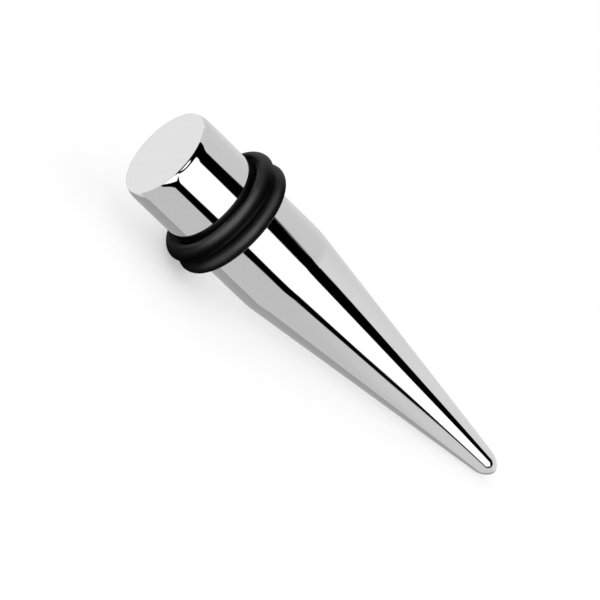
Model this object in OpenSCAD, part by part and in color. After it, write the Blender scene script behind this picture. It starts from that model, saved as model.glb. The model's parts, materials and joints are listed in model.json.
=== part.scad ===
// Ear stretching taper with two O-rings, lying on its side as it rests by itself.
// It touches the surface with its tip and with the O-ring nearer the tip.
// The origin is the middle of its bounding box on that surface, and +X runs towards the tip.

/* [Steel taper] */
// Diameter of the straight shank, which is the gauge of the stretched hole
shank_d = 10; // [8:0.5:12]
// Overall length, from the flat head end to the end of the tip
taper_l = 50.3; // [44:0.1:56]
// Distance from the head end to the knee, where the straight shank turns into the cone
knee_at = 17.45; // [15:0.05:19]
// Radius of the polished blend over the knee
knee_r = 12; // [6:1:18]

/* [Tip] */
// Diameter at which the cone's straight side gives way to the rounded tip
tip_d = 2.58; // [2.3:0.02:2.9]
// Length of the rounded tip
tip_l = 1.75; // [1.5:0.05:2]
// Radius of the tip's very end
tip_end_r = 0.8; // [0.6:0.05:0.9]

/* [Head rim] */
// Length along the shank over which the polished rim curves in towards the flat end
rim_l = 1; // [0.7:0.05:1.5]
// Distance by which the flat end's edge lies inside the shank's wall
rim_drop = 0.29; // [0.23:0.01:0.5]
// Radius of the small curve between the flat end and the rim
rim_break_r = 0.1; // [0.05:0.01:0.16]

/* [O-rings] */
// Thickness of the round rubber cord of each O-ring
ring_cord_d = 1.7; // [1.5:0.1:2]
// Distance from the head end to the middle of the pair of O-rings
ring_pair_at = 8.95; // [7.5:0.05:11]
// Depth of the shallow seat that the pair sits in
seat_depth = 0.2; // [0.16:0.02:0.4]
// Clearance from each O-ring to the steel and to the other O-ring
ring_gap = 0.05; // [0.02:0.01:0.08]

/* [Hidden] */
$fn = 128;

shank_r = shank_d / 2;
tip_from = taper_l - tip_l;
tip_from_r = tip_d / 2;

// The cone's line runs from the knee to where the tip's rounding starts
cone_angle = atan2(shank_r - tip_from_r, tip_from - knee_at);

// The blend's arc touches the shank's wall and the cone's line this far from the knee
blend_reach = knee_r * tan(cone_angle / 2);
blend_from = knee_at - blend_reach;
blend_to = knee_at + blend_reach * cos(cone_angle);

// The tip's long curve touches the cone's line at tip_from and runs into the small curve of its end
end_at = taper_l - tip_end_r;
end_reach = end_at - tip_from;
tip_excess = tip_from_r * cos(cone_angle) - end_reach * sin(cone_angle) - tip_end_r;
tip_r = (pow(tip_from_r, 2) + pow(end_reach, 2) - pow(tip_end_r, 2)) / (2 * tip_excess);
tip_centre_r = tip_from_r - tip_r * cos(cone_angle);
tip_centre_at = tip_from - tip_r * sin(cone_angle);
tip_meets_end = end_at + tip_end_r * (end_at - tip_centre_at) / (tip_r - tip_end_r);

// The rim's long curve touches the shank's wall at rim_l and runs into the small one
rim_r = (pow(rim_l, 2) - 2 * rim_l * rim_break_r + pow(rim_drop, 2)) / (2 * (rim_drop - rim_break_r));
flat_r = shank_r - rim_drop;
rim_meets_break = rim_l - rim_r * (rim_l - rim_break_r) / (rim_r - rim_break_r);

// Each O-ring is a round cord of radius ring_cord_r bent to a circle of radius ring_r
ring_cord_r = ring_cord_d / 2;
seat_r = shank_r - seat_depth;
seat_l = 2 * ring_cord_d + 3 * ring_gap;
ring_r = seat_r + ring_gap + ring_cord_r;
ring_spacing = ring_cord_d + ring_gap;
head_ring_at = ring_pair_at - ring_spacing / 2;
tip_ring_at = ring_pair_at + ring_spacing / 2;

// Tilt at which the O-ring nearer the tip and the tip itself touch one level surface
foot_span = norm([tip_centre_at - tip_ring_at, ring_r - tip_centre_r]);
foot_slope = atan2(ring_r - tip_centre_r, tip_centre_at - tip_ring_at);
rest_tilt = foot_slope + asin((ring_cord_r - tip_r) / foot_span);
axis_height_at_head = tip_centre_at * sin(rest_tilt) + tip_centre_r * cos(rest_tilt) + tip_r;

// Turn about its own axis that puts the seams of the round surfaces on top
seam_turn = 180;

// Reach of the lying taper along X, measured from the centre of its flat end
reach_back = rim_break_r * (cos(rest_tilt) - 1) - flat_r * sin(rest_tilt);
reach_front = end_at * cos(rest_tilt) + tip_end_r;
middle_x = (reach_back + reach_front) / 2;

// Turns a half profile, given as [radius, distance from the head end], and lays the result down
module turned_and_laid_down() {
    translate([-middle_x, 0, axis_height_at_head])
        rotate([0, 90 + rest_tilt, 0])
            rotate([0, 0, seam_turn])
                rotate_extrude()
                    children();
}

// Flat end with its rounded rim
module head_profile() {
    square([flat_r, rim_l]);
    translate([flat_r, rim_break_r])
        circle(r = rim_break_r);
    intersection() {
        translate([0, rim_meets_break])
            square([shank_r, rim_l - rim_meets_break]);
        translate([shank_r - rim_r, rim_l])
            circle(r = rim_r);
    }
}

// Straight wall from the rim to the knee's blend
module shank_profile() {
    translate([0, rim_l])
        square([shank_r, blend_from - rim_l]);
}

// Soft blend from the straight wall to the cone
module knee_profile() {
    intersection() {
        translate([0, blend_from])
            square([shank_r, blend_to - blend_from]);
        translate([shank_r - knee_r, blend_from])
            circle(r = knee_r);
    }
}

// Long cone from the blend to the tip's rounding
module cone_profile() {
    polygon([
        [0, blend_to],
        [shank_r - blend_reach * sin(cone_angle), blend_to],
        [tip_from_r, tip_from],
        [0, tip_from]
    ]);
}

// Rounded tip, a long curve that ends in a small one
module tip_profile() {
    intersection() {
        translate([0, tip_from])
            square([tip_from_r, tip_meets_end - tip_from]);
        translate([tip_centre_r, tip_centre_at])
            circle(r = tip_r);
    }
    intersection() {
        translate([0, end_at - tip_end_r])
            square([tip_end_r, 2 * tip_end_r]);
        translate([0, end_at])
            circle(r = tip_end_r);
    }
}

// Shallow seat for the two O-rings
module ring_seat_profile() {
    translate([seat_r, ring_pair_at - seat_l / 2])
        square([shank_r, seat_l]);
}

module steel_taper() {
    color("silver")
        turned_and_laid_down()
            difference() {
                union() {
                    head_profile();
                    shank_profile();
                    knee_profile();
                    cone_profile();
                    tip_profile();
                }
                ring_seat_profile();
            }
}

module o_ring(centre_at) {
    color("#1b1b1b")
        turned_and_laid_down()
            translate([ring_r, centre_at])
                circle(r = ring_cord_r);
}

module head_side_o_ring() {
    o_ring(head_ring_at);
}

module tip_side_o_ring() {
    o_ring(tip_ring_at);
}

steel_taper();
head_side_o_ring();
tip_side_o_ring();
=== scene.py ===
# %% [markdown]
# # Ear stretching taper with two O-rings
#
# The object is a bar of mirror-polished steel, 5 cm long: a flat head end, a straight shank, a
# long cone and a small round tip. Two black rubber O-rings sit side by side on the shank, and the
# whole lies on a plain surface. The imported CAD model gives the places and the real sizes. This
# script adds what the eye sees: surfaces fine enough to mirror a room without facets, the metal,
# the rubber, and the studio that the metal mirrors.

# %% Load the CAD frame
import json
from math import acos, asin, atan2, ceil, cos, degrees, exp, hypot, pi, radians, sin, tan

import bpy
import numpy as np
from mathutils import Matrix, Vector


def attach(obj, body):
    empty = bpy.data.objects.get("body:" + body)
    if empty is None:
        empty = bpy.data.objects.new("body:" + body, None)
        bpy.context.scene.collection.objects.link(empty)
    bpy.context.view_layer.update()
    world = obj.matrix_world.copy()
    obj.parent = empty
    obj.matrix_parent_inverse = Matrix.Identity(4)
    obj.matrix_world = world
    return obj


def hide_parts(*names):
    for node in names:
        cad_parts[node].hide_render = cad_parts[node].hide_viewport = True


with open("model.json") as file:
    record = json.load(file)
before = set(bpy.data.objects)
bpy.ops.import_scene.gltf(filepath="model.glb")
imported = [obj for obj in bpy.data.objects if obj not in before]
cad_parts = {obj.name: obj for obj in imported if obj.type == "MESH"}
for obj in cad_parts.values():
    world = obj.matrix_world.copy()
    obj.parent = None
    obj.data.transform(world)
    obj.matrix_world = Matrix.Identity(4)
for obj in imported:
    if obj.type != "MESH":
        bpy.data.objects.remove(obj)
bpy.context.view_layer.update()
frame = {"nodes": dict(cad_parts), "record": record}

# %% [markdown]
# ## Where the taper lies
#
# The taper rests on its tip and on one O-ring, so its axis dips a little. The place could be
# copied here as numbers, but the record's two mounts say it all: the head end's centre and the
# direction of the axis. A vertex of the CAD mesh can then be written as a distance along the axis
# and a radius, and that is how this cell measures the rings instead of copying their sizes.

# %% Measure the axis and the rings in the frame
MM = 0.001
mounts = {mount["name"]: mount for mount in frame["record"]["mounts"]}
head_end = Vector(mounts["head_end"]["pos_m"])
along = Vector(mounts["shank"]["axis"]).normalized()
tilt = asin(-along.z)
across = Vector((0, 1, 0))
upright = along.cross(across).normalized()
shank_r = mounts["shank"]["dims"]["r_mm"]
flat_r = mounts["head_end"]["dims"]["r_mm"]


def places_on_axis(node):
    """Distance along the axis and radius of each vertex of a CAD node, in mm."""
    vertices = np.array([v.co for v in frame["nodes"][node].data.vertices]) - np.array(head_end)
    reach = vertices @ np.array(along)
    radius = np.linalg.norm(vertices - np.outer(reach, np.array(along)), axis=1)
    return reach / MM, radius / MM


def measure_ring(node):
    """Centre along the axis, radius of the cord's centre line, and cord radius, in mm."""
    reach, radius = places_on_axis(node)
    cord_r = float(reach.max() - reach.min()) / 2
    return float(reach.max() + reach.min()) / 2, float(radius.max()) - cord_r, cord_r


taper_l = float(places_on_axis("steel_taper")[0].max())
rings = {node: measure_ring(node) for node in ("head_side_o_ring", "tip_side_o_ring")}
print("axis dips by", round(degrees(tilt), 2), "degrees, length", round(taper_l, 2), "mm")
for node, size in rings.items():
    print(node, "centre at, ring radius, cord radius:", [round(x, 3) for x in size], "mm")

# %% [markdown]
# ## The camera
#
# A long lens from 42 cm away keeps the two sides of the shank almost parallel, as in the
# photograph. A camera could be aimed by eye, but four measures fix it at once: how far the head
# end leans out of the picture plane towards the lens, how the axis slants across the picture,
# where the head end's centre falls, and how many pixels a millimetre takes. A turn about the
# taper's own axis changes none of them, so it is free, and it keeps the lens above the floor.

# %% Place the camera
PICTURE_PX = 600
SENSOR_MM = 36
FOCAL_PX = 4459
PX_PER_MM = 10.681  # at the head end's distance
HEAD_CENTRE_PX = (164.49, 153.03)  # from the picture's top left corner
LEAN = radians(28.395)
SLANT = radians(43.965)
ELEVATION = radians(20)
CLIP_M = (0.01, 20)

free_turn = acos((sin(ELEVATION) - sin(tilt) * sin(LEAN)) / (cos(tilt) * cos(LEAN)))
near_side = cos(free_turn) * upright - sin(free_turn) * across
low_side = -sin(free_turn) * upright - cos(free_turn) * across

right = cos(LEAN) * cos(SLANT) * along - sin(SLANT) * low_side + sin(LEAN) * cos(SLANT) * near_side
down = cos(LEAN) * sin(SLANT) * along + cos(SLANT) * low_side + sin(LEAN) * sin(SLANT) * near_side
forward = sin(LEAN) * along - cos(LEAN) * near_side
distance = FOCAL_PX / PX_PER_MM * MM
head_right, head_down = [(px - PICTURE_PX / 2) / PX_PER_MM * MM for px in HEAD_CENTRE_PX]
eye = head_end - head_right * right - head_down * down - distance * forward

camera = bpy.data.objects.new("camera", bpy.data.cameras.new("camera"))
bpy.context.scene.collection.objects.link(camera)
bpy.context.scene.camera = camera
camera.data.sensor_width = SENSOR_MM
camera.data.lens = FOCAL_PX / PICTURE_PX * SENSOR_MM
camera.data.clip_start, camera.data.clip_end = CLIP_M
turned = Matrix((right, -down, -forward)).transposed().to_4x4()
camera.matrix_world = Matrix.Translation(eye) @ turned
print("lens", round(camera.data.lens, 1), "mm, eye, m:", [round(x, 3) for x in eye])

# %% [markdown]
# ## Turned surfaces
#
# The steel and the rubber rings are all surfaces of revolution, so one helper serves them: it
# spins an outline round the taper's axis. Blender's Screw modifier could spin it too, but its
# normals are averaged from the faces around them, and those are a little wrong wherever a flat
# meets a curve. A mirror shows every wrong normal as a kink. So each outline point carries its own
# normal, worked out from the arc that it lies on, and the mesh keeps those normals.

# %% Spin an outline about the axis
AROUND = 288
POLE_R = 1e-6  # a row of the outline nearer the axis than this, in mm, becomes one vertex


def spin(name, outline, closed=False):
    """A mesh object from (reach, radius, normal along, normal out) rows in mm, spun round."""
    turns = np.linspace(0, 2 * pi, AROUND, endpoint=False)
    out = np.outer(np.cos(turns), np.array(upright)) + np.outer(np.sin(turns), np.array(across))
    points, normals, first = [], [], []
    for reach, radius, n_along, n_out in outline:
        first.append(len(points))
        ring = out if radius > POLE_R else out[:1]
        points += list(np.array(head_end) + MM * (reach * np.array(along) + radius * ring))
        normals += list(n_along * np.array(along) + n_out * ring)
    faces = []
    rows = len(outline)
    for here in range(rows if closed else rows - 1):
        there = (here + 1) % rows
        a, b = first[here], first[there]
        for k in range(AROUND):
            k2 = (k + 1) % AROUND
            if outline[here][1] <= POLE_R:
                faces.append((a, b + k, b + k2))
            elif outline[there][1] <= POLE_R:
                faces.append((a + k, b, a + k2))
            else:
                faces.append((a + k, b + k, b + k2, a + k2))
    mesh = bpy.data.meshes.new(name)
    mesh.from_pydata([tuple(p) for p in points], [], faces)
    mesh.polygons.foreach_set("use_smooth", [True] * len(mesh.polygons))
    mesh.validate()
    mesh.normals_split_custom_set_from_vertices([tuple(n / np.linalg.norm(n)) for n in normals])
    piece = bpy.data.objects.new(name, mesh)
    bpy.context.scene.collection.objects.link(piece)
    print(name, len(mesh.vertices), "vertices,", len(mesh.polygons), "faces")
    return piece


print("each turned surface has", AROUND, "faces round,", 360 / AROUND, "degrees apart")

# %% [markdown]
# ## The steel body
#
# The real taper is turned from one bar on a lathe and then polished on a buffing wheel, which
# leaves every edge soft. Its outline is therefore lines and arcs that run into each other: flat
# end, small curve, long rim curve, shank, blend over the knee, cone, and a tip with a long curve
# and a small round end. The CAD node has the right shape, but its facets would break up a mirror
# image, so a finer piece stands for it. This cell repeats the CAD's sizes in mm, and works out
# where each arc has its centre so that it touches the next one.

# %% Work out the steel's sizes
RIM_L = 1
RIM_BREAK_R = 0.1
KNEE_AT = 17.45
KNEE_R = 12
TIP_D = 2.58
TIP_L = 1.75
TIP_END_R = 0.8
SEAT_DEPTH = 0.2
SEAT_CLEARANCE = 0.05

rim_drop = shank_r - flat_r
rim_r = (RIM_L**2 - 2 * RIM_L * RIM_BREAK_R + rim_drop**2) / (2 * (rim_drop - RIM_BREAK_R))
rim_turn = -atan2(RIM_L - RIM_BREAK_R, flat_r - shank_r + rim_r)

tip_from, end_at = taper_l - TIP_L, taper_l - TIP_END_R
cone = atan2(shank_r - TIP_D / 2, tip_from - KNEE_AT)
blend_from = KNEE_AT - KNEE_R * tan(cone / 2)
end_reach = end_at - tip_from
tip_excess = TIP_D / 2 * cos(cone) - end_reach * sin(cone) - TIP_END_R
tip_r = ((TIP_D / 2) ** 2 + end_reach**2 - TIP_END_R**2) / (2 * tip_excess)
tip_centre = (tip_from - tip_r * sin(cone), TIP_D / 2 - tip_r * cos(cone))
tip_turn = atan2(end_at - tip_centre[0], -tip_centre[1])

(head_ring_at, _, cord_r), (tip_ring_at, _, _) = rings.values()
seat_from = head_ring_at - cord_r - SEAT_CLEARANCE
seat_to = tip_ring_at + cord_r + SEAT_CLEARANCE
soft_edge = SEAT_DEPTH / 2
print("cone angle", round(degrees(cone), 2), "degrees, radius of the rim's long curve",
      round(rim_r, 2), "mm, of the tip's", round(tip_r, 2), "mm")

# %% [markdown]
# ### Lines and arcs
#
# An outline is a list of rows: the distance along the axis, the radius, and the two parts of the
# normal. It could be drawn as a curve and sampled, but then the normals would have to be guessed
# back. Two helpers write every row exactly, one for arcs and one for straight lines.

# %% Write the rows of an arc and of a line
def arc(centre, radius, start, end, step):
    """Rows on an arc. Angles run from the direction across the axis (0) to the tip's (pi / 2)."""
    count = max(2, ceil(abs(end - start) / step))
    rows = []
    for i in range(count + 1):
        angle = start + (end - start) * i / count
        place = (centre[0] + radius * sin(angle), centre[1] + radius * cos(angle))
        rows.append((*place, sin(angle), cos(angle)))
    return rows


def line(start, end, normal, pitch):
    """Rows on a straight line, without its two ends."""
    run, rise = end[0] - start[0], end[1] - start[1]
    count = max(1, ceil(hypot(run, rise) / pitch))
    return [
        (start[0] + run * i / count, start[1] + rise * i / count, *normal)
        for i in range(1, count)
    ]


print("a line of 3 mm in steps of 1 mm has", len(line((0, 0), (3, 0), (0, 1), 1)), "rows inside")

# %% [markdown]
# ### The outline from end to end
#
# Polishing rounds the edges of the rings' shallow seat as well, so each end of the seat is two
# small arcs. The rows stand close together where a mirror image bends fast, such as over the knee,
# and far apart on straight walls. One even spacing would be simpler, but it would have to be the
# finest one everywhere.

# %% Draw the steel's outline
SEAT_STEP, SMALL_STEP, RIM_STEP = radians(15), radians(3), radians(1)
KNEE_STEP, TIP_STEP = radians(0.35), radians(1.5)
FLAT_PITCH, WALL_PITCH, CONE_PITCH = 0.4, 0.6, 0.8


def seat_end(at, way):
    """The rounded step of the rings' seat, from the wall down to its floor when way is 1."""
    down_from = shank_r - soft_edge
    upper = arc((at, down_from), soft_edge, 0, way * pi / 2, SEAT_STEP)
    lower = arc((at + way * SEAT_DEPTH, down_from), -soft_edge, way * pi / 2, 0, SEAT_STEP)
    return upper + lower[1:]


def steel_outline():
    """The whole outline from the middle of the flat end to the end of the tip."""
    knee = arc((blend_from, shank_r - KNEE_R), KNEE_R, 0, cone, KNEE_STEP)
    tip = arc(tip_centre, tip_r, cone, tip_turn, TIP_STEP)
    tip += arc((end_at, 0), TIP_END_R, tip_turn, pi / 2, SMALL_STEP)[1:]
    tip[-1] = (taper_l, 0, 1, 0)  # exactly on the axis, so that the tip closes in one vertex
    outwards = (0, 1)
    floor_r = shank_r - SEAT_DEPTH
    floor_from, floor_to = (seat_from + SEAT_DEPTH, floor_r), (seat_to - SEAT_DEPTH, floor_r)
    rows = [(0, 0, -1, 0)]
    rows += line((0, 0), (0, flat_r), (-1, 0), FLAT_PITCH)
    rows += arc((RIM_BREAK_R, flat_r), RIM_BREAK_R, -pi / 2, rim_turn, SMALL_STEP)
    rows += arc((RIM_L, shank_r - rim_r), rim_r, rim_turn, 0, RIM_STEP)[1:]
    rows += line((RIM_L, shank_r), (seat_from, shank_r), outwards, WALL_PITCH)
    rows += seat_end(seat_from, 1)
    rows += line(floor_from, floor_to, outwards, WALL_PITCH)
    rows += seat_end(seat_to, -1)[::-1]
    rows += line((seat_to, shank_r), (blend_from, shank_r), outwards, WALL_PITCH)
    rows += knee
    rows += line(knee[-1][:2], tip[0][:2], (sin(cone), cos(cone)), CONE_PITCH)
    return rows + tip


outline = steel_outline()
print("the outline has", len(outline), "rows and ends at", round(outline[-1][0], 2), "mm")

# %% [markdown]
# ### Spin the steel and test it
#
# The finer piece has to lie where the CAD solid lies. It could be compared by eye, but a distance
# is surer: every vertex of the CAD node is held against the outline, and the largest distances are
# printed. In the seat it is an eighth of a millimetre, because the CAD's square corners are rounded
# here, where the rings hide them. Everywhere else it is a thousandth.

# %% Make the steel body
def gaps_to_outline(cad_places, outline):
    """Distance in mm from each (reach, radius) place to an outline."""
    path = np.array([row[:2] for row in outline])
    start, leg = path[:-1], np.diff(path, axis=0)
    gaps = []
    for place in cad_places:
        share = np.clip(((place - start) * leg).sum(1) / (leg**2).sum(1), 0, 1)
        gaps.append(np.linalg.norm(start + share[:, None] * leg - place, axis=1).min())
    return np.array(gaps)


steel = spin("polished_taper", outline)
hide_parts("steel_taper")
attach(steel, "root")
cad_places = np.unique(np.round(np.stack(places_on_axis("steel_taper"), 1), 3), axis=0)
gaps = gaps_to_outline(cad_places, outline)
in_seat = (cad_places[:, 0] > seat_from - soft_edge) & (cad_places[:, 0] < seat_to + soft_edge)
print("off the CAD by at most", round(gaps[in_seat].max(), 3), "mm in the seat and",
      round(gaps[~in_seat].max(), 3), "mm elsewhere")

# %% [markdown]
# ## The O-rings
#
# An O-ring is moulded in two halves, and a hair-thin ridge of rubber stays where the mould's
# halves met. The ridge is far too small to see from arm's length, but it catches the light close
# up, so it is in the mesh, as part of the cord's round section. A torus from the menu couldn't
# hold it, so the section is drawn point by point. A ring that is rolled on by hand never sits
# quite square. The photographed pair leans a little towards the head end on the side that faces
# the camera, and the two turn together, so they stay as close as they were.

# %% Make the O-rings
SECTION_POINTS = 96
BUNCHING = 0.75  # 0 spaces the points evenly, 0.75 puts them four times as close at the ridge
RIDGE_H = 0.012
RIDGE_W = 0.05
RING_LEAN = radians(3.8)


def cord_section(centre_at, ring_r, cord_r):
    """Outline rows of the cord's section, closer together at the mould ridge."""
    rows = []
    for i in range(SECTION_POINTS):
        even = 2 * pi * i / SECTION_POINTS - pi
        angle = even - BUNCHING * sin(even)
        ridge = RIDGE_H * exp(-((angle * cord_r / RIDGE_W) ** 2))
        reach = centre_at + (cord_r + ridge) * sin(angle)
        rows.append((reach, ring_r + (cord_r + ridge) * cos(angle), sin(angle), cos(angle)))
    return rows


o_rings = []
for node, size in rings.items():
    section = cord_section(*size)
    o_ring = spin("rubber_" + node, section, closed=True)
    inward = o_ring.data.attributes.new("inward", "FLOAT", "POINT")
    inward.data.foreach_set("value", [-n_out for *_, n_out in section for _ in range(AROUND)])
    middle = Matrix.Translation(head_end + size[0] * MM * along)
    o_ring.data.transform(middle @ Matrix.Rotation(RING_LEAN, 4, low_side) @ middle.inverted())
    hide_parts(node)
    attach(o_ring, "root")
    o_rings.append(o_ring)
    print(o_ring.name, "lowest", round(min(v.co.z for v in o_ring.data.vertices) / MM, 3), "mm")

# %% [markdown]
# ## Materials: three helpers
#
# Colours are written as the hex values that a picture program shows. Blender mixes light, not
# screen values, so one function turns them to linear. Another adds a node, sets its values and
# links its inputs in one line, and the third starts an empty material. Node trees could also be
# built by clicking, but a script makes the same tree every time.

# %% Colour and node helpers
def linear(hex_colour):
    """An sRGB hex colour as linear RGBA."""
    parts = [int(hex_colour[i : i + 2], 16) / 255 for i in (1, 3, 5)]
    return (*(p / 12.92 if p <= 0.04045 else ((p + 0.055) / 1.055) ** 2.4 for p in parts), 1)


def add(tree, kind, links=None, values=None, **settings):
    """Adds a node. links and values name its inputs: sockets to link from, numbers to set."""
    node = tree.nodes.new(kind)
    for key, value in settings.items():
        setattr(node, key, value)
    for key, value in (values or {}).items():
        node.inputs[key].default_value = value
    for key, socket in (links or {}).items():
        tree.links.new(socket, node.inputs[key])
    return node


def new_material(name):
    """An empty material with its node tree and output node."""
    material = bpy.data.materials.new(name)
    material.use_nodes = True
    material.node_tree.nodes.clear()
    return material, material.node_tree, add(material.node_tree, "ShaderNodeOutputMaterial")


print("#808080 is half of white on screen, and", round(linear("#808080")[0], 3), "of its light")

# %% [markdown]
# ## Patterns in millimetres
#
# The steel's marks and the rubber's grain have real sizes, so their patterns need coordinates in
# mm. Generated coordinates would stretch with the piece's box, and a UV map would need seams.
# Object coordinates are metres in space, and a turn by the taper's tilt lays their X along its
# axis.

# %% Coordinates and scale
def axis_space(tree, stretch):
    """Coordinates in mm with X along the taper's axis, and X multiplied by stretch."""
    place = add(tree, "ShaderNodeTexCoord").outputs["Object"]
    turn = add(tree, "ShaderNodeVectorRotate", {"Vector": place}, {"Angle": -tilt},
               rotation_type="Y_AXIS")
    size = (stretch / MM, 1 / MM, 1 / MM)
    return add(tree, "ShaderNodeVectorMath", {0: turn.outputs[0]}, {1: size},
               operation="MULTIPLY").outputs[0]


def noise_scale(width):
    """Scale of a noise with spots this wide. Each of its cells holds a light and a dark one."""
    return 0.5 / width


print("spots 0.1 mm wide need a noise of scale", noise_scale(0.1))

# %% [markdown]
# ## Mirror-polished stainless steel
#
# Body jewellery is 316L stainless steel, buffed until it mirrors. A mirror has hardly any look of
# its own, so what tells steel from chrome paint is small. The buffing wheel leaves hair-fine marks
# round the axis, and a haze that is stronger in patches of a few millimetres. Haze throws some
# light out of the mirror's direction, so it shows as a faint grain in an even grey, and it also
# makes the surface a little rougher. The marks are a very low bump too. They are really a few
# thousandths of a millimetre wide, and are drawn about 0.1 mm wide so that they show at all. A
# smooth shader with one roughness would be simpler, but it would look like a computer's idea of
# metal.

# %% Polished steel material
MARK_W = 0.1
MARK_H_M = 5e-9
HAZE_W = 2
STEEL_HAZY = "#CCCCCC"
STEEL_CLEAR = "#D5D5D5"
HAZE_ROUGH = (0.015, 0.03)
MARK_ROUGH = 0.006


def polished_steel():
    material, tree, output = new_material("mirror_polished_316L_steel")
    # X is stretched by 2 here, so a mark is twice as long round the taper as it is wide
    marks = add(tree, "ShaderNodeTexNoise", {"Vector": axis_space(tree, 2)},
                {"Scale": noise_scale(2 * MARK_W), "Detail": 3, "Roughness": 0.6})
    haze = add(tree, "ShaderNodeTexNoise", {"Vector": axis_space(tree, 1)},
               {"Scale": noise_scale(HAZE_W), "Detail": 4, "Roughness": 0.55})
    colour = add(tree, "ShaderNodeMix", {"Factor": marks.outputs["Fac"]},
                 {"A": linear(STEEL_HAZY), "B": linear(STEEL_CLEAR)}, data_type="RGBA")
    soft = add(tree, "ShaderNodeMapRange", {"Value": haze.outputs["Fac"]},
               {"From Min": 0.35, "From Max": 0.75,
                "To Min": HAZE_ROUGH[0], "To Max": HAZE_ROUGH[1]})
    rough = add(tree, "ShaderNodeMath", {0: marks.outputs["Fac"], 2: soft.outputs[0]},
                {1: MARK_ROUGH}, operation="MULTIPLY_ADD")
    relief = add(tree, "ShaderNodeBump", {"Height": marks.outputs["Fac"]},
                 {"Strength": 1, "Distance": MARK_H_M})
    shader = add(tree, "ShaderNodeBsdfPrincipled",
                 {"Base Color": colour.outputs["Result"], "Roughness": rough.outputs[0],
                  "Normal": relief.outputs[0]},
                 {"Metallic": 1})
    tree.links.new(shader.outputs[0], output.inputs["Surface"])
    return material


steel.data.materials.append(polished_steel())
steel_shine = (linear(STEEL_HAZY)[1] + linear(STEEL_CLEAR)[1]) / 2
print("the steel reflects", round(steel_shine, 3), "of the light")

# %% [markdown]
# ## Moulded black rubber
#
# O-rings are nitrile or silicone rubber, coloured with carbon black and moulded in a tool with a
# fine satin skin. Satin means that the gloss is wide: the studio shows as a soft stripe along the
# cord, and no edge in it is sharp. The skin has a grain finer than a tenth of a millimetre, and
# handling leaves faint paler dust. On the side of the cord that faces the steel the gloss is
# turned down, as painted shade that darkens that side and the ring's mirror image in the steel
# nearly to black. Two materials could share the ring, but then a line would show between them.
# Instead the mesh says how far each place faces inward, and the gloss fades with that.

# %% Black rubber material
GRAIN_W = 0.09
GRAIN_H_M = 1.5e-6
CLOUD_W = 5 / 7  # patches of a little more and less gloss, about 0.7 mm wide
DUST_W = 0.125
RUBBER_CLEAN = "#020202"
RUBBER_DUSTY = "#0C0C0C"
CLOUD_ROUGH = (0.42, 0.5)
SHADE_AT = (-0.4, 0.25)  # how far inward it faces where painted shade starts and where it is full
GLOSS_OPEN, GLOSS_SHADED = 0.5, 0.03


def black_rubber():
    material, tree, output = new_material("moulded_black_nitrile_rubber")
    place = axis_space(tree, 1)
    grain = add(tree, "ShaderNodeTexNoise", {"Vector": place},
                {"Scale": noise_scale(GRAIN_W), "Detail": 3, "Roughness": 0.6})
    cloud = add(tree, "ShaderNodeTexNoise", {"Vector": place},
                {"Scale": noise_scale(CLOUD_W), "Detail": 3, "Roughness": 0.5})
    dust = add(tree, "ShaderNodeTexNoise", {"Vector": place},
               {"Scale": noise_scale(DUST_W), "Detail": 5, "Roughness": 0.7})
    specks = add(tree, "ShaderNodeMapRange", {"Value": dust.outputs["Fac"]},
                 {"From Min": 0.62, "From Max": 0.78, "To Min": 0, "To Max": 1})
    colour = add(tree, "ShaderNodeMix", {"Factor": specks.outputs[0]},
                 {"A": linear(RUBBER_CLEAN), "B": linear(RUBBER_DUSTY)}, data_type="RGBA")
    rough = add(tree, "ShaderNodeMapRange", {"Value": cloud.outputs["Fac"]},
                {"From Min": 0.3, "From Max": 0.7,
                 "To Min": CLOUD_ROUGH[0], "To Max": CLOUD_ROUGH[1]})
    inward = add(tree, "ShaderNodeAttribute", attribute_name="inward").outputs["Fac"]
    # painted shade: the gloss fades where the cord faces the steel, darkening it and its mirror
    # image
    gloss = add(tree, "ShaderNodeMapRange", {"Value": inward},
                {"From Min": SHADE_AT[0], "From Max": SHADE_AT[1],
                 "To Min": GLOSS_OPEN, "To Max": GLOSS_SHADED}, interpolation_type="SMOOTHSTEP")
    relief = add(tree, "ShaderNodeBump", {"Height": grain.outputs["Fac"]},
                 {"Strength": 1, "Distance": GRAIN_H_M})
    shader = add(tree, "ShaderNodeBsdfPrincipled",
                 {"Base Color": colour.outputs["Result"], "Roughness": rough.outputs[0],
                  "Specular IOR Level": gloss.outputs[0], "Normal": relief.outputs[0]},
                 {"IOR": 1.52})
    tree.links.new(shader.outputs[0], output.inputs["Surface"])
    return material


rubber = black_rubber()
for o_ring in o_rings:
    o_ring.data.materials.append(rubber)
print(rubber.name, "on", [o_ring.name for o_ring in o_rings])

# %% [markdown]
# ## The light tent
#
# A mirror can't be lit, it can only be given something to reflect. A photographer of polished
# jewellery closes a tent of white and grey cards round it and hangs black strips in the tent,
# which draw the dark lines that make metal look like metal. The cards could be flat meshes, but
# their edges would be razor sharp and each would need its own lamp. Here the tent is one big globe,
# and each card is an outline drawn on it in degrees: how far round the axis (0 faces the camera,
# plus is towards the floor) and how far it leans from square to the axis towards the tip.

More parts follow.
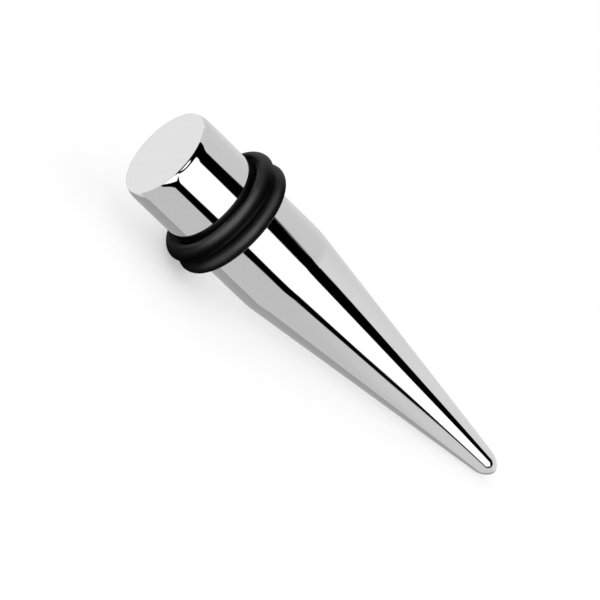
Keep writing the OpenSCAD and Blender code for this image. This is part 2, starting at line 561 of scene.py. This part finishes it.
# %% Cut the cards
# Each row: name, grey that it shows in the steel, softness of its edge in degrees, and the
# (round, lean) corners of its outline. A later card hides an earlier one.
SHEET_GREY = 197  # what the tent shows where no card is
WHITE = 262  # a little over the screen's 255, so that grain can't make white grey
CARDS = [
    ("cone side of the upper sheet", 211, 24, [(-150, 36), (-30, 36), (-30, 120), (-150, 120)]),
    ("cone side, behind", 211, 24, [(180, 36), (290, 36), (290, 120), (180, 120)]),
    ("lower sheet", 188, 1, [(34, -16), (111, -16), (111, 46), (20, 46)]),
    ("lower sheet, tip side", 200, 8, [(5, 43), (40, 42), (114, 39.6), (114, 85), (5, 85)]),
    ("floor's far part", 152, 1, [
        (109, 12), (113, 34), (110, 72), (165, 72), (182, 40), (182, 18), (140, 9)]),
    ("sheet behind, head side", 223, 3, [(114, -70), (114, 4), (246, 4), (246, -70)]),
    ("grey strip behind", 110, 2, [(168, -14), (168, 66), (192, 66), (192, -14)]),
    ("softbox", WHITE, 1, [
        (-46, 46), (-34, 46), (-26, 52), (-18, 58), (-10, 58), (0, 53), (10, 48), (20, 45.5),
        (30, 42), (36, 26), (44, 6), (56, -12), (48, -21), (-36, -21)]),
    ("below the lens", 15, 2, [(-32, -18), (18, -18), (18, -60), (-32, -60)]),
    ("beside the lens", 190, 2, [(18, -20), (47, -21), (66, -60), (18, -60)]),
    ("upper black strip", 0, 1, [
        (-62, 63), (-70.5, 44), (-69.3, 42.6), (-68.4, 42.2), (-67.4, 41.9), (-67.2, 41.6),
        (-66.5, 41.1), (-66.3, 40.3), (-64.2, 39.9), (-63.3, 39.4), (-61, 34), (-61, 28.3),
        (-67.3, 27.85), (-71.8, 27.5), (-67.3, 26.6), (-67, 15), (-71, 5), (-74, -5), (-76, -15),
        (-80, -30), (-88, -48), (-14, -60), (-14, -22), (-28, -14), (-40, -1), (-41, 8),
        (-39, 26.6), (-38.3, 27.5), (-34.5, 28.2), (-34, 34), (-35.5, 41.2), (-35.8, 42.5),
        (-35.8, 43.6), (-37.5, 44.4), (-36, 46.5), (-33, 63)]),
    ("cable across the softbox", 0, 0.6, [
        (-44, -1), (-30, -2.5), (-10, -4), (2, -6.5), (10, -12), (12, -19), (6, -19), (2, -15.5),
        (-4, -12), (-12, -10), (-24, -10.5), (-29, -14), (-44, -20)]),
    ("softbox's tip-side frame", 0, 0.6, [
        (-44, 46), (-34, 46), (-26, 52), (-18, 58), (-10, 58), (0, 53), (10, 48), (20, 45.5),
        (24, 44.5), (30, 46), (24, 54), (14, 60), (0, 65), (-14, 67), (-30, 68), (-44, 66)]),
    ("lower black strip", 0, 1, [
        (15.5, 45.5), (16.3, 44.5), (17.8, 43.8), (20.3, 43.4), (22.3, 43), (22.8, 42.3),
        (23.2, 41.5), (22.2, 28), (21.2, 27.5), (21.6, 26.9), (22.7, 26.2), (20.5, 15), (17.5, 5),
        (16, 0), (15, -10), (18, -3), (24, 5), (32, -1), (42, -9), (50, -15), (57, -16),
        (58.5, -12), (56, -8), (49, 0), (45, 5), (40.5, 15), (38.3, 26.5), (38.5, 27.5),
        (37.2, 28), (37.8, 36), (37.9, 41.6), (37.4, 41.9), (36.4, 42.3), (35.2, 43), (34, 43.4),
        (32, 43.8), (28.8, 44.2), (26, 44.8), (24, 45.8)]),
]
print(len(CARDS), "cards with", sum(len(corners) for *_, corners in CARDS), "corners")

# %% [markdown]
# ### How bright each place of the tent is
#
# A card's edge is a soft step in its light, since real cards stand out of focus. The step could be
# painted on an image, but a distance does it without one: how deep a place lies inside the outline
# tells how much of the card it has. Edges are made crisper along the lean, because most of the
# steel shows two degrees of turn or more in a pixel, but hardly any of lean. The steel takes some
# of the light, so a card is made brighter than it should look by what the steel takes.

# %% Work out the tent's light
CRISPER = 3  # an edge is three times as narrow along the lean as round the axis


def reach_inside(turn, tip_lean, outline):
    """Degrees from each place on the globe to a card's outline, minus where it lies outside."""
    nearest = np.full(turn.shape, np.inf)
    inside = np.zeros(turn.shape, bool)
    tip_lean = CRISPER * tip_lean
    corners = [(x, CRISPER * y) for x, y in outline]
    for (x1, y1), (x2, y2) in zip(corners, corners[1:] + corners[:1]):
        run, rise = x2 - x1, y2 - y1
        share = ((turn - x1) * run + (tip_lean - y1) * rise) / (run**2 + rise**2)
        share = np.clip(share, 0, 1)
        off = np.hypot(turn - x1 - share * run, tip_lean - y1 - share * rise)
        nearest = np.minimum(nearest, off)
        if rise:
            crossed = (y1 > tip_lean) != (y2 > tip_lean)
            inside ^= crossed & (turn < x1 + run * (tip_lean - y1) / rise)
    return np.where(inside, nearest, -nearest)


def seen_as(grey):
    """The light of a card that shows in the steel as this 8-bit grey, which may be over 255."""
    screen = min(grey, 255)
    return linear("#" + 3 * f"{screen:02X}")[0] * max(grey / 255, 1) ** 2 / steel_shine


def light_of_tent(turn, tip_lean):
    """Light of the tent at each place on the globe, from its sheets and cards."""
    light = np.full(turn.shape, seen_as(SHEET_GREY))
    for _, grey, softness, outline in CARDS:
        cover = np.clip(reach_inside(turn, tip_lean, outline) / softness + 0.5, 0, 1)
        cover = cover * cover * (3 - 2 * cover)  # an S-curve, so that no edge shows a crease
        light += cover * (seen_as(grey) - light)
    return light


print("the softbox gives", round(seen_as(WHITE), 2), "and the sheet", round(seen_as(SHEET_GREY), 2))

# %% [markdown]
# ### The globe
#
# The globe's cells are one degree wide, because the middle of the shank shows two degrees of the
# tent in a pixel. Finer cells would only take longer, except along the lean where the knee and the
# cone mirror the strips' ends: there each row is a quarter of a degree. A mesh attribute holds the
# light of each corner, and the globe's material will give off as much as it says. The rows stop a
# degree short of the two poles, and one flat cell closes each end.

# %% Build the globe
TENT_R_M = 4.0
FIRST_TURN = -110
COARSE, FINE = 1.0, 0.25
FINE_FROM, FINE_TO = 20, 50
POLE_LEAN = 90

lean_rows = np.concatenate([
    np.arange(1 - POLE_LEAN, FINE_FROM, COARSE),
    np.arange(FINE_FROM, FINE_TO, FINE),
    np.arange(FINE_TO, POLE_LEAN, COARSE),
])
turns, leans = np.meshgrid(np.arange(FIRST_TURN, FIRST_TURN + 360), lean_rows)
round_axis, to_tip = np.radians(turns.ravel()), np.radians(leans.ravel())
places = np.outer(np.cos(to_tip) * np.cos(round_axis), near_side)
places += np.outer(np.cos(to_tip) * np.sin(round_axis), low_side)
places += np.outer(np.sin(to_tip), along)
rows, columns = turns.shape
cells = []
for row in range(0, (rows - 1) * columns, columns):
    for k in range(columns):
        k2 = (k + 1) % columns
        cells.append((row + k, row + k2, row + columns + k2, row + columns + k))
cells += [tuple(range(columns)), tuple(range((rows - 1) * columns, rows * columns))]
tent_mesh = bpy.data.meshes.new("light_tent")
tent_mesh.from_pydata([tuple(p) for p in np.array(head_end) + TENT_R_M * places], [], cells)
light = tent_mesh.attributes.new("light", "FLOAT", "POINT")
tent_light = light_of_tent(turns.ravel().astype(float), leans.ravel().astype(float))
light.data.foreach_set("value", tent_light)
print("tent of", len(cells), "cells, light from 0 to", round(float(tent_light.max()), 2))

# %% [markdown]
# ### Show the tent to the steel alone
#
# Blender lets a mesh be hidden from chosen kinds of rays, and light linking lets it light chosen
# pieces only. Only the steel's reflections see the globe, so it may stand where the camera and the
# floor are. A real tent needs a hole for the lens. This one doesn't.

# %% Close the tent
def light_only(lamp, pieces):
    """Lets a lamp or a lit mesh light these pieces and nothing else."""
    lit = bpy.data.collections.new("lit_by_" + lamp.name)
    for piece in pieces:
        lit.objects.link(piece)
    lamp.light_linking.receiver_collection = lit


glow, tree, output = new_material("lit_cloth_and_cards")
amount = add(tree, "ShaderNodeAttribute", attribute_name="light")
cloth = add(tree, "ShaderNodeEmission", {"Strength": amount.outputs["Fac"]},
            {"Color": (1, 1, 1, 1)})
tree.links.new(cloth.outputs[0], output.inputs["Surface"])
glow.cycles.emission_sampling = "NONE"  # reflections find the tent by themselves
tent_mesh.materials.append(glow)
tent = bpy.data.objects.new("light_tent", tent_mesh)
bpy.context.scene.collection.objects.link(tent)
HIDDEN_FROM = ("camera", "diffuse", "transmission", "volume_scatter", "shadow")
for rays in HIDDEN_FROM:
    setattr(tent, "visible_" + rays, False)
light_only(tent, [steel])
print("the tent lights", steel.name, "and is hidden from", len(HIDDEN_FROM), "kinds of rays")

# %% [markdown]
# ## Lamps for the rubber
#
# Black rubber beside polished steel is lit apart, or it goes grey while the steel looks right.
# Light linking does that too: these lamps light the rings and nothing else. The photographed rings
# show one soft stripe each, and the stripes lie differently. The ring nearer the head mirrors a
# light beyond the head end. The other one stands in its shadow and mirrors lights on the camera's
# side, so each ring has its own. A faint lamp at the tip's end parts the two rings by a thin paler
# edge, and a weak one behind draws a stripe for whoever looks from there.

# %% Light the rings
LAMP_DISTANCE_M = 0.4
# Each row: name, degrees round the axis, lean towards the tip, width in m, power in W, rings lit
RING_LAMPS = [
    ("head_side_lamp", 0, -70, 0.7, 3.6, o_rings[:1]),
    ("near_side_lamp", 0, -12, 0.5, 1.7, o_rings[1:]),
    ("upper_side_lamp", -62, -12, 0.5, 0.8, o_rings[1:]),
    ("lower_side_lamp", 62, -12, 0.5, 0.8, o_rings[1:]),
    ("tip_side_lamp", 0, 78, 0.4, 0.15, o_rings[:1]),
    ("far_side_lamp", -150, 0, 0.6, 0.4, o_rings),
]
middle_of_rings = head_end + (head_ring_at + tip_ring_at) / 2 * MM * along

for name, turn, tip_lean, size, power, lit_rings in RING_LAMPS:
    lamp = bpy.data.objects.new(name, bpy.data.lights.new(name, "AREA"))
    bpy.context.scene.collection.objects.link(lamp)
    lamp.data.shape = "DISK"
    lamp.data.size = size
    lamp.data.energy = power
    way = cos(radians(turn)) * near_side + sin(radians(turn)) * low_side
    way = cos(radians(tip_lean)) * way + sin(radians(tip_lean)) * along
    lamp.location = middle_of_rings + LAMP_DISTANCE_M * way
    lamp.rotation_euler = (-way).to_track_quat("-Z", "Y").to_euler()
    light_only(lamp, lit_rings)
    print(name, "at", [round(x, 3) for x in lamp.location])

# %% [markdown]
# ## Floor
#
# The surface is a light table of white acrylic, matt, and lit a little from below. Under the room
# light alone a white plane would come out grey, and the glow lifts it to the photograph's white.
# The steel reflects the tent alone: the table is kept out of reflections, as the tent's lower half
# stands for it. It casts no shadow either, because light comes up through it, and that lets a lamp
# light the rings from below.

# %% Lay the floor
FLOOR_HALF_M = 3.0
FLOOR_GLOW = 0.44

floor_mesh = bpy.data.meshes.new("floor")
signs = ((-1, -1), (1, -1), (1, 1), (-1, 1))
corners = [(x * FLOOR_HALF_M, y * FLOOR_HALF_M, 0) for x, y in signs]
floor_mesh.from_pydata(corners, [], [(0, 1, 2, 3)])
floor = bpy.data.objects.new("floor", floor_mesh)
bpy.context.scene.collection.objects.link(floor)
floor.visible_glossy = False
floor.visible_shadow = False
sheet, tree, output = new_material("white_acrylic_light_table")
acrylic = add(tree, "ShaderNodeBsdfPrincipled", values={
    "Base Color": linear("#F4F4F4"), "Roughness": 0.6, "IOR": 1.49,
    "Emission Color": (1, 1, 1, 1), "Emission Strength": FLOOR_GLOW})
tree.links.new(acrylic.outputs[0], output.inputs["Surface"])
sheet.cycles.emission_sampling = "NONE"
floor_mesh.materials.append(sheet)
print("floor", 2 * FLOOR_HALF_M, "m wide, glows with", FLOOR_GLOW)

# %% [markdown]
# ## Room light
#
# The room light comes evenly from all round, so the only shadow is a soft grey one where the taper
# nearly touches the table. A lamp overhead would be the usual choice, but it would throw a shadow
# with an edge, and the photograph has none. The Standard view shows each grey as it was set, where
# Blender's usual one would dull the whites.

# %% Light the room
ROOM_LIGHT = 0.7
MOST_BOUNCES, MIRROR_BOUNCES = 12, 8

world = bpy.data.worlds.new("room")
bpy.context.scene.world = world
world.use_nodes = True
background = world.node_tree.nodes["Background"]
background.inputs["Color"].default_value = (1, 1, 1, 1)
background.inputs["Strength"].default_value = ROOM_LIGHT

view = bpy.context.scene.view_settings
view.view_transform = "Standard"
view.look = "None"
view.exposure = 0
view.gamma = 1
bpy.context.scene.cycles.max_bounces = MOST_BOUNCES
bpy.context.scene.cycles.glossy_bounces = MIRROR_BOUNCES
print("room light", ROOM_LIGHT, "shown by the", view.view_transform, "view")
